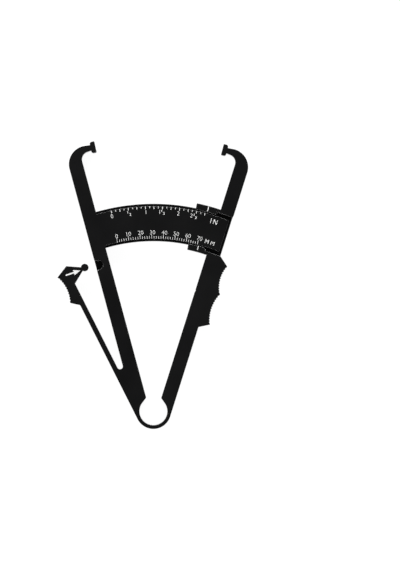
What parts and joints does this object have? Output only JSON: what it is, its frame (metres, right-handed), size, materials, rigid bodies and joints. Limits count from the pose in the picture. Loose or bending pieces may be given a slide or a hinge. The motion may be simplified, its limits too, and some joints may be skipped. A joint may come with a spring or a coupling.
{
  "type": "skinfold caliper",
  "caption": "Flat moulded caliper: hooked jaws on a spring loop, a curved scale band that runs in a guide, and a thumb lever whose ball enters a recess at the right pressure.",
  "frame": {"origin": "middle of the tool's box on the plane of its back", "axes": "+Z out of the printed face, +Y from the spring loop towards the jaws, +X towards the arm with the finger grip"},
  "size_m": [0.1068, 0.1612, 0.006],
  "materials": {
    "black_plastic": "fine matte moulded surface, a little glossier along the worn edges",
    "white_print": "white hot-stamped marks, slightly soft at their edges"
  },
  "bodies": {
    "scale_arm": {"left_arm": "black_plastic", "left_jaw": "black_plastic", "left_jaw_pad": "black_plastic", "lever_root": "black_plastic", "lever_flexure": "black_plastic", "spring_loop": "black_plastic", "scale_band": "black_plastic"},
    "swing_arm": {"right_arm": "black_plastic", "right_jaw": "black_plastic", "right_jaw_pad": "black_plastic", "finger_grip": "black_plastic", "upper_guide_tab": "black_plastic", "lower_guide_tab": "black_plastic"},
    "press_lever": {"lever_blade": "black_plastic", "thumb_pad": "black_plastic", "click_finger": "black_plastic"}
  },
  "joints": [
    {"name": "jaw_swing", "type": "hinge", "parent": "scale_arm", "child": "swing_arm", "pos_m": [0.00033, -0.07066, 0.003], "axis": [0, 0, 1], "range_deg": [0, 26.9], "stiffness_Nm_per_rad": 0.25, "deforming": ["spring_loop"]},
    {"name": "lever_press", "type": "hinge", "parent": "scale_arm", "child": "press_lever", "pos_m": [-0.02501, -0.03916, 0.003], "axis": [0, 0, -1], "range_deg": [0, 9], "stiffness_Nm_per_rad": 1.04, "deforming": ["lever_flexure"]}
  ]
}
